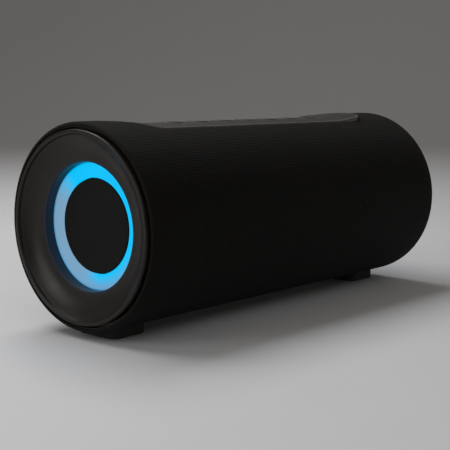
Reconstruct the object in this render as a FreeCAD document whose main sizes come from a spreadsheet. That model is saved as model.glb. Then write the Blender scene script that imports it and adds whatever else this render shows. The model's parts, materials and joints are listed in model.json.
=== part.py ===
# Portable party speaker: a fabric-covered cylinder lying on two feet, with a deep dish, a light ring and a
# passive radiator in each end, a long control panel sunk in a scoop along the top, two woofers and two
# tweeters facing the front, and a port door at the back.
# Frame: X along the cylinder, the listener at -Y, Z up. The origin is on the floor, below the middle.
import FreeCAD, Part
import math
import os
import re
import Sketcher

V = FreeCAD.Vector

doc = FreeCAD.newDocument("PartySpeaker")

# ---------------------------------------------------------------- driving sizes, in millimetres and degrees
SIZES = [
    ("overallLength", 243, "rim of one end to rim of the other"),
    ("bodyRadius", 50, "outside of the fabric"),
    ("footHeight", 3.5, "floor to the lowest fabric"),
    ("fabricThickness", 1, "knitted sleeve"),
    ("grilleWall", 1.4, "rigid sleeve under the fabric"),
    ("grilleGap", 0.4, "between the shells and the grille"),
    ("shellWall", 2.2, "front and rear shells"),
    ("endSetback", 1.4, "fabric end behind the rim"),
    ("endRounding", 1.5, "rounded end of the fabric"),
    ("endHem", 2, "how far the fabric turns in at each end"),
    ("endGroove", 1.6, "groove between the fabric's end and the lip"),
    ("lipWidth", 2, "bezel lip"),
    ("lipRounding", 0.9, "crest of the lip"),
    ("lipDrop", 1.5, "depth at which the dish starts"),
    ("dishBendDepth", 6, "middle of the dish"),
    ("dishSlope", 6.2, "inner edge of the lip to the middle of the dish"),
    ("dishBlend", 18, "roundness of the dish"),
    ("bezelWall", 1.8, "dish, spigot and flange"),
    ("flangeDepth", 5, "front of the bezel flange"),
    ("spigotLength", 6, "part of the bezel inside the shells"),
    ("slideFit", 0.1, "clearance of parts that plug together"),
    ("ringRadius", 31, "dish edge around the light ring"),
    ("ringDepth", 6.7, "dish edge behind the rim"),
    ("ringSeat", 5.1, "dark collar from the dish back to the light ring"),
    ("diffuserWall", 1.5, "light ring"),
    ("skirtWidth", 4, "light ring's skirt outside the collar"),
    ("boardDepth", 18.5, "front of the light board"),
    ("boardThickness", 1.2, "printed boards of the light rings"),
    ("ledInset", 1.5, "lamp circle inside the dish edge"),
    ("ledSize", 3.5, "square lamp"),
    ("ledHeight", 1.2, "lamp"),
    ("ledCount", 12, "lamps in each ring"),
    ("ringFloor", 7.8, "width of the lit ring"),
    ("capDepth", 11.7, "centre disc behind the rim"),
    ("capWall", 1.4, "centre disc and its skirt"),
    ("capGap", 0.4, "around the centre disc"),
    ("coneDepth", 22, "front of the radiator's diaphragm"),
    ("diaphragmEdge", 2.2, "diaphragm outside the centre disc"),
    ("diaphragmThickness", 1.5, "radiator diaphragm"),
    ("surroundThickness", 0.8, "rubber surrounds"),
    ("surroundLand", 1.4, "glued rims of the surrounds"),
    ("surroundHeight", 4, "roll of the radiator surround"),
    ("frameOpening", 2, "opening of the radiator frame outside the dish edge"),
    ("frameThickness", 2.5, "radiator frame"),
    ("postInset", 0.5, "posts clear of the spigot"),
    ("postRadius", 3, "bezel posts"),
    ("postCount", 4, "bezel posts"),
    ("screwRadius", 1.3, "screw shank"),
    ("screwHeadRadius", 2.1, "screw head"),
    ("screwHeadHeight", 1.4, "screw head"),
    ("screwLength", 7, "screw shank"),
    ("screwFit", 0.05, "clearance around a screw"),
    ("scoopDepth", 1.85, "panel crown below the fabric"),
    ("archRadius", 94, "crosswise curve of the panel"),
    ("leftRampOuterInset", 23.5, "rim to the outer corner of the left ramp"),
    ("leftRampInnerInset", 37, "rim to the inner corner of the left ramp"),
    ("leftRampBlend", 95, "roundness of the left ramp"),
    ("rightRampInnerInset", 55.5, "rim to the inner corner of the right ramp"),
    ("rightRampOuterInset", 43.5, "rim to the outer corner of the right ramp"),
    ("rightRampBlend", 75, "roundness of the right ramp"),
    ("panelLeftInset", 33.5, "rim to the left end of the trim"),
    ("panelRightInset", 28.5, "rim to the right end of the trim"),
    ("panelHalfWidth", 19.4, "outside of the trim"),
    ("panelLeftCorner", 7, "left corners of the trim"),
    ("panelRightCorner", 15, "right corners of the trim"),
    ("trimWidth", 1.2, "trim bead"),
    ("trimProud", 0.3, "trim above the panel"),
    ("trimDepth", 2.4, "trim below the panel face"),
    ("panelGap", 0.45, "between the trim and the panel"),
    ("panelThickness", 1.8, "control panel"),
    ("coverGap", 0.2, "around pieces set in the sleeve"),
    ("scoopRise", 0.05, "ramps end this far above the fabric"),
    ("cutterHeight", 8, "bars that cut the scoop"),
    ("trayDepth", 9.5, "tray floor below the panel face"),
    ("trayWall", 1.5, "control tray"),
    ("buttonPitch", 19, "between buttons"),
    ("buttonRadius", 5.5, "buttons"),
    ("buttonGap", 0.25, "around a button"),
    ("buttonProud", 0.2, "button above the panel"),
    ("buttonRounding", 0.4, "edge of a button"),
    ("buttonTravel", 0.5, "button stroke"),
    ("buttonFlange", 1.1, "button collar under the panel"),
    ("collarThickness", 0.8, "button collar under the panel"),
    ("collarGap", 0.35, "between a button's collar and the panel"),
    ("stemRadius", 1.6, "button stem"),
    ("switchBoardDepth", 7, "switch board face below the panel face"),
    ("switchBoardThickness", 1, "switch board"),
    ("switchBoardHalfWidth", 9, "switch board"),
    ("switchSize", 5, "square switch"),
    ("switchHeight", 2, "switch"),
    ("stemGap", 0.05, "between a pressed button and its switch"),
    ("footInset", 10.5, "rim to the outer end of a foot"),
    ("footLength", 22, "foot along the cylinder"),
    ("footHalfWidth", 13.5, "foot across the cylinder"),
    ("footCorner", 4, "foot corners"),
    ("footChamfer", 0.8, "lower edge of a foot"),
    ("footScrewOffset", 7.5, "foot screws from the middle plane"),
    ("footScrewInset", 4.5, "foot screws from the inner end of a foot"),
    ("footRecess", 3, "foot screw head above the floor"),
    ("bossLift", 0.6, "screw bosses above the bottom of the shells"),
    ("baffleSink", 16, "baffle face behind the fabric"),
    ("baffleWall", 2.5, "baffle"),
    ("baffleMargin", 7, "baffle past the woofers"),
    ("driverGap", 1, "around the drivers' flanges"),
    ("wooferGap", 1.2, "between a woofer and a tweeter"),
    ("flangeWidth", 6.6, "woofer flange outside the basket's mouth"),
    ("wooferFlangeThickness", 2, "woofer flange"),
    ("wooferFit", 0.2, "around a basket"),
    ("basketThroat", 14, "narrow end of the basket"),
    ("basketDepth", 13, "magnet behind the flange face"),
    ("basketWall", 1.4, "basket"),
    ("rollWidth", 3.8, "woofer surround between cone and basket"),
    ("coneThroat", 10, "narrow edge of the cone"),
    ("coneHeight", 7, "cone"),
    ("coneWall", 0.8, "cone"),
    ("dustCapRise", 2.2, "dome in the middle of the cone"),
    ("rollHeight", 2.2, "roll of the woofer surround"),
    ("coilWall", 0.6, "voice coil"),
    ("coilLength", 8.5, "voice coil"),
    ("magnetRadius", 16, "magnet"),
    ("magnetLength", 12, "magnet"),
    ("magnetGap", 0.5, "each side of the coil"),
    ("yokeThickness", 4, "back of the magnet behind the coil"),
    ("wooferMouth", 22.4, "wide end of the basket"),
    ("tweeterFlange", 12.4, "tweeter flange"),
    ("tweeterFlangeThickness", 1.4, "tweeter flange"),
    ("tweeterBody", 10, "tweeter body"),
    ("tweeterLength", 12, "tweeter body"),
    ("domeRadius", 8, "tweeter dome"),
    ("domeHeight", 2.6, "tweeter dome"),
    ("domeWall", 0.6, "tweeter dome"),
    ("domeFit", 0.3, "around a tweeter dome"),
    ("domeSeat", 3, "back of a tweeter dome behind its flange face"),
    ("domeEdge", 1.6, "edge of a tweeter dome behind its flange face"),
    ("slotLength", 12, "grille slots"),
    ("slotWidth", 3, "grille slots"),
    ("slotPitch", 15, "grille slots along the cylinder"),
    ("slotRowPitch", 6, "grille slots, row to row"),
    ("slotColumns", 12, "grille slots"),
    ("slotRows", 9, "grille slots"),
    ("portHalfLength", 23, "port door"),
    ("portHalfHeight", 8, "port door"),
    ("doorWall", 1.6, "port door"),
    ("doorSink", 0.3, "door below the fabric"),
    ("portDepth", 9.5, "port floor behind the fabric"),
    ("portWall", 1.5, "port tub"),
    ("hingeRadius", 1.3, "door knuckle"),
    ("hingePin", 0.6, "door hinge pin"),
    ("hingeDrop", 5.5, "hinge below the axis"),
    ("hingeDepth", 1.4, "hinge behind the door's face"),
    ("knuckleHalfLength", 14, "door knuckle"),
    ("earLength", 2.4, "hinge ears of the port tub"),
    ("hingeSideGap", 0.15, "between a knuckle and an ear"),
    ("hingeGap", 0.3, "around the door's knuckle"),
    ("sealLap", 0.3, "edge of the port inside the door's outline"),
    ("jackOffset", 10, "sockets from the middle"),
    ("jackRadius", 3, "audio socket"),
    ("jackBore", 1.75, "audio plug"),
    ("chargeHalfWidth", 4.5, "charging socket"),
    ("chargeHalfHeight", 1.6, "charging socket"),
    ("socketWall", 0.35, "charging socket"),
    ("socketLength", 7.5, "sockets"),
    ("mainBoardHalfLength", 42, "main board"),
    ("mainBoardHalfHeight", 17, "main board"),
    ("mainBoardThickness", 1.6, "main board"),
    ("cellRadius", 10.6, "battery cell"),
    ("cellLength", 70, "battery cell"),
    ("cellSide", 14, "cells behind the axis"),
    ("cellRise", 23, "cells above the lowest fabric"),
    ("cellGap", 0.3, "around a cell"),
    ("holderWall", 1.6, "battery holder"),
    ("loomRadius", 1.6, "speaker wires"),
    ("loomRise", 12, "wires above the axis"),
    ("loomBend", 12, "turns of the wires"),
    ("loomSide", 8, "wires behind the cells' axis"),
    ("loomGap", 0.1, "between the wires and a magnet"),
]

sheet = doc.addObject("Spreadsheet::Sheet", "Sizes")
for row, (name, value, note) in enumerate(SIZES, start=1):
    sheet.set(f"A{row}", note)
    sheet.set(f"B{row}", str(value))
    sheet.setAlias(f"B{row}", name)
doc.recompute()

ALIASES = {name for name, value, note in SIZES}

# ---------------------------------------------------------------- sizes that follow from the driving ones
FORMULAS = {
    "axisHeight": "footHeight + bodyRadius",
    "grilleOutside": "bodyRadius - fabricThickness",
    "grilleInside": "grilleOutside - grilleWall",
    "shellOutside": "grilleInside - grilleGap",
    "shellInside": "shellOutside - shellWall",
    "shellEnd": "flangeDepth + bezelWall",
    "shellHalf": "overallLength / 2 - shellEnd",
    "sleeveHalf": "overallLength / 2 - endSetback",
    "spigotInside": "shellInside - slideFit - bezelWall",
    "lipRadius": "bodyRadius - endHem - endGroove",
    "dishBendRadius": "lipRadius - lipWidth - dishSlope",
    "diffuserDepth": "ringDepth + ringSeat + slideFit",
    "capRadius": "ringRadius - ringFloor - capGap",
    "diffuserFlange": "ringRadius + skirtWidth",
    "ledCircle": "ringRadius - ledInset",
    "diaphragmRadius": "capRadius + diaphragmEdge",
    "frameRadius": "ringRadius + frameOpening",
    "frameFront": "coneDepth + diaphragmThickness - frameThickness",
    "postCircle": "spigotInside - postRadius - postInset",
    "leftRampOuter": "overallLength / 2 - leftRampOuterInset",
    "leftRampInner": "overallLength / 2 - leftRampInnerInset",
    "rightRampInner": "overallLength / 2 - rightRampInnerInset",
    "rightRampOuter": "overallLength / 2 - rightRampOuterInset",
    "panelLeft": "overallLength / 2 - panelLeftInset",
    "panelRight": "overallLength / 2 - panelRightInset",
    "panelFace": "axisHeight + bodyRadius - scoopDepth",
    "collarTop": "panelFace - panelThickness - collarGap",
    "switchBoardFace": "panelFace - switchBoardDepth",
    "headSeat": "shellOutside + 0.2 - screwHeadHeight",
    "endScrewX": "overallLength / 2 - shellEnd - spigotLength * 0.6",
    "footInner": "overallLength / 2 - footInset - footLength",
    "footScrewX": "footInner + footScrewInset",
    "baffleDepth": "bodyRadius - baffleSink",
    "baffleHalfHeight": "wooferFlange + driverGap",
    "baffleHalfLength": "wooferOffset + wooferFlange + baffleMargin",
    "wooferFlange": "wooferMouth + flangeWidth",
    "wooferHole": "wooferMouth + basketWall + wooferFit",
    "wooferScrewCircle": "(wooferFlange + wooferMouth + basketWall) / 2",
    "coneRim": "wooferMouth - rollWidth",
    "tweeterOffset": "tweeterFlange + driverGap",
    "wooferOffset": "tweeterOffset + tweeterFlange + wooferFlange + wooferGap",
    "portFloor": "bodyRadius - portDepth",
    "tubHalfLength": "portHalfLength + portWall - sealLap",
    "tubHalfHeight": "portHalfHeight + portWall - sealLap",
    "hingeY": "bodyRadius - doorSink - hingeDepth",
    "hingeZ": "-hingeDrop",
    "doorInside": "bodyRadius - doorSink - doorWall",
    "earStart": "knuckleHalfLength + hingeSideGap",
    "sillTop": "hingeZ - hingeRadius - hingeGap",
    "cellDrop": "bodyRadius - cellRise",
}


def size(name):
    """The present value of one named size."""
    return float(sheet.get(name))


def bound(formula):
    """A formula written with plain names, as an expression on the sheet."""
    def expand(word):
        if word[0] in FORMULAS:
            return f"({bound(FORMULAS[word[0]])})"
        return "Sizes." + word[0] if word[0] in ALIASES else word[0]
    return re.sub(r"[A-Za-z]\w*", expand, str(formula))


def bind(thing, **formulas):
    for name, formula in formulas.items():
        thing.setExpression(name, bound(formula))
    return thing


# ---------------------------------------------------------------- sketching and placing
def newSketch(body, name, plane="XY_Plane", lift=None):
    """A sketch on one of the body's own origin planes, lifted along its normal where a formula is given."""
    face = next(feature for feature in body.Origin.OriginFeatures if feature.Role == plane)
    sketch = body.newObject("Sketcher::SketchObject", name)
    sketch.AttachmentSupport = [(face, "")]
    sketch.MapMode = "FlatFace"
    if lift is not None:
        sketch.setExpression("AttachmentOffset.Base.z", bound(lift))
    return sketch


def hold(sketch, kind, geometry, point, value, formula):
    """One sketch dimension from the origin, or a radius, tied to a formula."""
    target = (geometry,) if kind == "Radius" else (-1, 1, geometry, point)
    index = sketch.addConstraint(Sketcher.Constraint(kind, *target, value))
    sketch.setExpression(f"Constraints[{index}]", bound(formula))


def outline(sketch, corners, closed=True):
    """Straight edges through corners given as formulas (x, y) or, where rounded, (x, y, radius)."""
    first = sketch.GeometryCount
    count = len(corners)
    turns = [2 * math.pi * index / count for index in range(count)]
    guess = [V(100 * math.cos(turn), 100 * math.sin(turn), 0) for turn in turns]
    edges = count if closed else count - 1
    for index in range(edges):
        sketch.addGeometry(Part.LineSegment(guess[index], guess[(index + 1) % count]), False)
    for index in range(edges if closed else edges - 1):
        following = first + (index + 1) % count
        sketch.addConstraint(Sketcher.Constraint("Coincident", first + index, 2, following, 1))
    for index, corner in enumerate(corners):
        geometry, point = (first + index, 1) if index < edges else (first + index - 1, 2)
        hold(sketch, "DistanceX", geometry, point, guess[index].x, corner[0])
        hold(sketch, "DistanceY", geometry, point, guess[index].y, corner[1])
    sketch.recompute()
    for index, corner in enumerate(corners):
        if len(corner) == 3:
            sketch.fillet(first + index, 1, 0.05, True, True)
            arcs = [i for i, g in enumerate(sketch.Geometry) if g.TypeId == "Part::GeomArcOfCircle"]
            hold(sketch, "Radius", arcs[-1], 0, 0.05, corner[2])


def circle(sketch, x, y, radius):
    sketch.addGeometry(Part.Circle(V(1, 1, 0), V(0, 0, 1), 1), False)
    geometry = sketch.GeometryCount - 1
    hold(sketch, "DistanceX", geometry, 3, 1, x)
    hold(sketch, "DistanceY", geometry, 3, 1, y)
    hold(sketch, "Radius", geometry, 0, 1, radius)


def newBody(label):
    body = doc.addObject("PartDesign::Body", label)
    body.Label = label
    return body


def turned(label, corners):
    """A body turned about its own X axis from a half section (depth, radius)."""
    body = newBody(label)
    sketch = newSketch(body, label + "_section")
    outline(sketch, corners)
    turn = body.newObject("PartDesign::Revolution", label + "_turn")
    turn.Profile = sketch
    turn.ReferenceAxis = (sketch, ["H_Axis"])
    turn.Angle = 360
    return body


def padded(label, corners, length, plane="XY_Plane", lift=None):
    """A body padded from an outline."""
    body = newBody(label)
    sketch = newSketch(body, label + "_section", plane, lift)
    outline(sketch, corners)
    pad = body.newObject("PartDesign::Pad", label + "_pad")
    pad.Profile = sketch
    bind(pad, Length=length)
    return body


def rectangle(left, low, right, high, corner=None):
    points = [(left, low), (right, low), (right, high), (left, high)]
    return [point + (corner,) for point in points] if corner is not None else points


def addPad(body, name, shapes, length, plane, lift, cut=False, pattern=None):
    """Pads or pockets round shapes on a body, repeated around the X axis where pattern gives a count."""
    sketch = newSketch(body, name + "_sketch", plane, lift)
    for shape in shapes:
        circle(sketch, *shape)
    feature = body.newObject("PartDesign::Pocket" if cut else "PartDesign::Pad", name)
    feature.Profile = sketch
    feature.Reversed = cut
    bind(feature, Length=length)
    if pattern is not None:
        ring = body.newObject("PartDesign::PolarPattern", name + "_ring")
        ring.Originals = [feature]
        ring.Axis = (sketch, ["N_Axis"])
        ring.Angle = 360
        bind(ring, Occurrences=pattern)
        body.Tip = ring
    return body


def place(thing, x=0, y=0, z=0, rotation=None):
    if rotation is not None:
        thing.Placement = FreeCAD.Placement(V(0, 0, 0), rotation)
    formulas = {"Placement.Base.x": x, "Placement.Base.y": y, "Placement.Base.z": z}
    for name, formula in formulas.items():
        thing.setExpression(name, bound(formula))
    return thing


def box(name, x, y, z, length, width, height):
    """A plain box from its lowest corner."""
    return place(bind(doc.addObject("Part::Box", name), Length=length, Width=width, Height=height), x, y, z)


def rod(name, x, y, z, radius, height, direction):
    """A plain cylinder from the middle of its first face, along a direction."""
    cylinder = bind(doc.addObject("Part::Cylinder", name), Radius=radius, Height=height)
    return place(cylinder, x, y, z, FreeCAD.Rotation(V(0, 0, 1), direction))


def cut(name, base, *tools):
    result = doc.addObject("Part::Cut", name)
    result.Base = base
    result.Tool = tools[0] if len(tools) == 1 else fuse(name + "_tools", *tools)
    result.Label = name
    return result


def fuse(name, *shapes):
    result = doc.addObject("Part::MultiFuse", name)
    result.Shapes = list(shapes)
    result.Label = name
    return result


def common(name, *shapes):
    result = doc.addObject("Part::MultiCommon", name)
    result.Shapes = list(shapes)
    result.Label = name
    return result


def group(name, pieces):
    result = doc.addObject("Part::Compound", name)
    result.Links = list(pieces)
    result.Label = name
    return result


parts = []


def keep(*pieces):
    parts.extend(pieces)
    return pieces[0]


# ---------------------------------------------------------------- the two ends, built from the rim inwards
END = {"left": (-1, FreeCAD.Rotation()), "right": (1, FreeCAD.Rotation(V(0, 0, 1), 180))}


def atEnd(piece, side):
    """Turns and moves a piece drawn with X as the depth behind the rim to one end."""
    sign, rotation = END[side]
    return place(piece, f"{sign} * overallLength / 2", 0, "axisHeight", rotation)


def endBezel(side):
    """The dish with its rounded lip and collar, the flange against the shells, the spigot and the posts."""
    body = turned(side + "_bezel", [
        (0, "lipRadius", "lipRounding"),
        (0, "lipRadius - lipWidth", "lipRounding"),
        ("lipDrop", "lipRadius - lipWidth - 0.4", 0.6),
        ("dishBendDepth", "dishBendRadius", "dishBlend"),
        ("ringDepth", "ringRadius", 0.4),
        ("ringDepth + ringSeat", "ringRadius"),
        ("ringDepth + ringSeat", "ringRadius + bezelWall"),
        ("ringDepth + bezelWall", "ringRadius + bezelWall"),
        ("dishBendDepth + bezelWall * 0.86", "dishBendRadius + bezelWall * 0.56"),
        ("lipDrop + bezelWall * 1.9", "spigotInside"),
        ("shellEnd + spigotLength", "spigotInside"),
        ("shellEnd + spigotLength", "shellInside - slideFit"),
        ("shellEnd", "shellInside - slideFit"),
        ("shellEnd", "shellOutside"),
        ("flangeDepth", "shellOutside"),
        ("flangeDepth", "lipRadius"),
    ])
    start = "(dishBendDepth + bezelWall / 2)"
    addPad(body, side + "_posts", [(0, "postCircle", "postRadius")], f"frameFront - {start}",
           "YZ_Plane", start, pattern="postCount")
    bore = "(screwLength - frameThickness + 1)"
    addPad(body, side + "_post_bores", [(0, "postCircle", "screwRadius + screwFit")], bore,
           "YZ_Plane", f"frameFront - {bore}", cut=True, pattern="postCount")
    return atEnd(body, side)


def lightDiffuser(side):
    """The frosted ring: a flat plate level with the centre disc, and a skirt back to the light board."""
    return atEnd(turned(side + "_light_ring", [
        ("diffuserDepth", "diffuserFlange"),
        ("diffuserDepth", "capRadius + capGap", 0.3),
        ("diffuserDepth + diffuserWall", "capRadius + capGap"),
        ("diffuserDepth + diffuserWall", "diffuserFlange - diffuserWall"),
        ("boardDepth", "diffuserFlange - diffuserWall"),
        ("boardDepth", "diffuserFlange"),
    ]), side)


def lightBoard(side):
    """A printed ring, clear of the diaphragm as it comes forward."""
    inside = "diaphragmRadius + capGap"
    return atEnd(turned(side + "_light_board", [
        ("boardDepth", inside),
        ("boardDepth", "diffuserFlange"),
        ("boardDepth + boardThickness", "diffuserFlange"),
        ("boardDepth + boardThickness", inside),
    ]), side)


def lightLamps(side):
    """Square lamps in a circle on the front of the light board."""
    half = "ledSize / 2"
    body = padded(side + "_lamps", rectangle(f"-{half}", f"ledCircle - {half}", half, f"ledCircle + {half}"),
                  "ledHeight", "YZ_Plane", "boardDepth - ledHeight")
    ring = body.newObject("PartDesign::PolarPattern", side + "_lamp_ring")
    ring.Originals = [body.Tip]
    ring.Axis = (body.Tip.Profile[0], ["N_Axis"])
    ring.Angle = 360
    bind(ring, Occurrences="ledCount")
    body.Tip = ring
    return atEnd(body, side)


def radiatorCap(side):
    """The flat centre disc with a skirt back to the diaphragm."""
    return atEnd(turned(side + "_radiator_cap", [
        ("capDepth", 0),
        ("capDepth", "capRadius", 0.5),
        ("coneDepth", "capRadius"),
        ("coneDepth", "capRadius - capWall"),
        ("capDepth + capWall", "capRadius - capWall"),
        ("capDepth + capWall", 0),
    ]), side)


def radiatorDiaphragm(side):
    return atEnd(turned(side + "_radiator_diaphragm", [
        ("coneDepth", 0),
        ("coneDepth", "diaphragmRadius"),
        ("coneDepth + diaphragmThickness", "diaphragmRadius"),
        ("coneDepth + diaphragmThickness", 0),
    ]), side)


def radiatorSurround(side):
    """The rubber roll between the diaphragm and the frame, glued to the back of both."""
    back = "(coneDepth + diaphragmThickness)"
    middle = "(diaphragmRadius + frameRadius) / 2"
    return atEnd(turned(side + "_radiator_surround", [
        (back, "diaphragmRadius - surroundLand"),
        (back, "diaphragmRadius", 0.5),
        (back + " + surroundHeight - surroundThickness", f"{middle} - 2", 1.2),
        (back + " + surroundHeight - surroundThickness", f"{middle} + 2", 1.2),
        (back, "frameRadius", 0.5),
        (back, "frameRadius + surroundLand"),
        (back + " + surroundThickness", "frameRadius + surroundLand"),
        (back + " + surroundThickness", "frameRadius + 0.3", 1),
        (back + " + surroundHeight", f"{middle} + 2.4", 2),
        (back + " + surroundHeight", f"{middle} - 2.4", 2),
        (back + " + surroundThickness", "diaphragmRadius - 0.3", 1),
        (back + " + surroundThickness", "diaphragmRadius - surroundLand"),
    ]), side)


def radiatorFrame(side):
    """The ring screwed to the bezel posts, with a rim that carries the light board."""
    body = turned(side + "_radiator_frame", [
        ("frameFront + frameThickness", "frameRadius"),
        ("frameFront + frameThickness", "spigotInside - slideFit"),
        ("frameFront", "spigotInside - slideFit"),
        ("frameFront", "frameRadius + bezelWall"),
        ("boardDepth + boardThickness", "frameRadius + bezelWall"),
        ("boardDepth + boardThickness", "frameRadius"),
    ])
    addPad(body, side + "_frame_bores", [(0, "postCircle", "screwRadius + screwFit")], "frameThickness",
           "YZ_Plane", "frameFront", cut=True, pattern="postCount")
    return atEnd(body, side)


for side in END:
    keep(endBezel(side), lightDiffuser(side), lightBoard(side), lightLamps(side))
    keep(radiatorCap(side), radiatorDiaphragm(side), radiatorSurround(side), radiatorFrame(side))


# ---------------------------------------------------------------- screws, each a copy of one turned screw
screw = turned("screw", [
    ("-screwHeadHeight", 0),
    ("-screwHeadHeight", "screwHeadRadius", 0.4),
    (0, "screwHeadRadius"),
    (0, "screwRadius"),
    ("screwLength", "screwRadius", 0.5),
    ("screwLength", 0),
])


def screwAt(name, x, y, z, direction):
    """A copy of the screw with the underside of its head at a point, driven along a direction."""
    copy = doc.addObject("App::Link", name)
    copy.LinkedObject = screw
    return place(copy, x, y, z, FreeCAD.Rotation(V(1, 0, 0), direction))


def around(circleRadius, turn):
    """Formulas for a point on a circle about the cylinder's axis, from straight up towards +Y."""
    side, up = math.sin(turn), math.cos(turn)
    return f"{side:.9f} * {circleRadius}", f"axisHeight + {up:.9f} * {circleRadius}"


DIAGONALS = [math.radians(45 + 90 * quarter) for quarter in range(4)]


def radiatorScrews():
    screws = []
    for side, (sign, rotation) in END.items():
        depth = f"{sign} * (overallLength / 2 - frameFront - frameThickness)"
        for number in range(int(size("postCount"))):
            y, z = around("postCircle", 2 * math.pi * number / size("postCount"))
            screws.append(screwAt(f"{side}_radiator_screw_{number}", depth, y, z, V(sign, 0, 0)))
    return group("radiator_screws", screws)


keep(radiatorScrews())


# ---------------------------------------------------------------- the scoop along the top
def aboveScoop(name, level):
    """All that lies above the scooped top at a level over the fabric, as a bar swept along the scoop."""
    top = f"(axisHeight + bodyRadius + scoopRise + {level})"
    low = f"({top} - scoopRise - scoopDepth)"
    end = "(overallLength / 2 + 2)"
    path = doc.addObject("Sketcher::SketchObject", name + "_path")
    path.Placement.Rotation = FreeCAD.Rotation(V(1, 0, 0), 90)
    outline(path, [
        (f"-{end}", top),
        ("-leftRampOuter", top, "leftRampBlend"),
        ("-leftRampInner", low, "leftRampBlend"),
        ("rightRampInner", low, "rightRampBlend"),
        ("rightRampOuter", top, "rightRampBlend"),
        (end, top),
    ], closed=False)
    section = doc.addObject("Sketcher::SketchObject", name + "_section")
    section.Placement.Rotation = FreeCAD.Rotation(V(1, 1, 1), 120)
    section.setExpression("Placement.Base.x", bound(f"-{end}"))
    half = "(panelHalfWidth * 1.3)"
    brink = f"{top} - archRadius + sqrt(archRadius ^ 2 - {half} ^ 2)"
    high = f"{top} + cutterHeight"
    outline(section, [(f"-{half}", brink), (f"-{half}", high), (half, high), (half, brink)], closed=False)
    leftEnd, rightEnd = section.Geometry[0].StartPoint, section.Geometry[2].EndPoint
    crown = V(0, leftEnd.y + 3, 0)
    section.addGeometry(Part.Arc(rightEnd, crown, leftEnd), False)
    section.addConstraint(Sketcher.Constraint("Coincident", 3, 1, 2, 2))
    section.addConstraint(Sketcher.Constraint("Coincident", 3, 2, 0, 1))
    hold(section, "Radius", 3, 0, size("archRadius"), "archRadius")
    sweep = doc.addObject("Part::Sweep", name)
    sweep.Sections = [section]
    path.recompute()
    sweep.Spine = (path, [f"Edge{number + 1}" for number in range(len(path.Shape.Edges))])
    sweep.Solid = True
    return sweep


def panelPrism(name, inset):
    """An upright block with the outline of the top trim, drawn in by an inset."""
    left, right, half = f"-panelLeft + {inset}", f"panelRight - {inset}", f"(panelHalfWidth - {inset})"
    leftCorner, rightCorner = f"panelLeftCorner - {inset}", f"panelRightCorner - {inset}"
    return padded(name, [
        (left, f"-{half}", leftCorner),
        (right, f"-{half}", rightCorner),
        (right, half, rightCorner),
        (left, half, leftCorner),
    ], "bodyRadius / 2 + 2", lift="axisHeight + bodyRadius / 2")


aboveFabric = aboveScoop("above_fabric", "0")
aboveGrille = aboveScoop("above_grille", "-fabricThickness")
underGrille = aboveScoop("under_grille", "-fabricThickness - grilleWall")
aboveShell = aboveScoop("above_shell", "-fabricThickness - grilleWall - grilleGap")
underShell = aboveScoop("under_shell", "-fabricThickness - grilleWall - grilleGap - shellWall")
aboveTrim = aboveScoop("above_trim", "trimProud")
underTrim = aboveScoop("under_trim", "-trimDepth")
underPanel = aboveScoop("under_panel", "-panelThickness")


# ---------------------------------------------------------------- holes that several sleeves and shells share
def barrel(name, half, radius):
    """A plain cylinder about the speaker's axis."""
    return rod(name, f"-{half}", 0, "axisHeight", radius, f"2 * {half}", V(1, 0, 0))


def slab(name, halfLength, yLow, yHigh, zLow, zHigh):
    """A box centred along the cylinder, with heights counted from the axis."""
    return box(name, f"-{halfLength}", yLow, f"axisHeight + {zLow}", f"2 * {halfLength}",
               f"{yHigh} - ({yLow})", f"{zHigh} - ({zLow})")


def footPrism(name, sign, grow, height):
    """An upright block with a foot's outline, grown by a clearance."""
    inner, outer = f"(footInner - {grow})", f"(footInner + footLength + {grow})"
    low, high = (inner, outer) if sign > 0 else (f"-{outer}", f"-{inner}")
    return padded(name, rectangle(low, f"-footHalfWidth - {grow}", high, f"footHalfWidth + {grow}",
                                  f"footCorner + {grow}"), height)


trimOpening = panelPrism("trim_opening", "-coverGap")
trayOpening = panelPrism("tray_opening", "trimWidth")
doorOpening = slab("door_opening", "(portHalfLength + coverGap)", "portFloor - 3", "bodyRadius + 1",
                   "(-portHalfHeight - coverGap)", "(portHalfHeight + coverGap)")
footOpenings = [footPrism(f"foot_opening_{number}", sign, "coverGap", "axisHeight / 2")
                for number, sign in enumerate((-1, 1))]


def grilleSlots():
    """Rows of slots through the front of the grille."""
    across, up = "(slotPitch * (slotColumns - 1))", "(slotRowPitch * (slotRows - 1))"
    left, low = f"(-{across} / 2 - slotLength / 2)", f"(axisHeight - {up} / 2 - slotWidth / 2)"
    body = padded("grille_slots", rectangle(left, low, f"{left} + slotLength", f"{low} + slotWidth",
                                            "slotWidth * 0.45"),
                  "bodyRadius", plane="XZ_Plane", lift="baffleDepth - 8")
    pad = body.Tip
    columns = body.newObject("PartDesign::LinearPattern", "slot_columns")
    columns.Direction = (pad.Profile[0], ["H_Axis"])
    bind(columns, Length=across, Occurrences="slotColumns")
    rows = body.newObject("PartDesign::LinearPattern", "slot_rows")
    rows.Direction = (pad.Profile[0], ["V_Axis"])
    bind(rows, Length=up, Occurrences="slotRows")
    grid = body.newObject("PartDesign::MultiTransform", "slot_grid")
    grid.Originals = [pad]
    grid.Transformations = [columns, rows]
    body.Tip = grid
    return body


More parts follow.
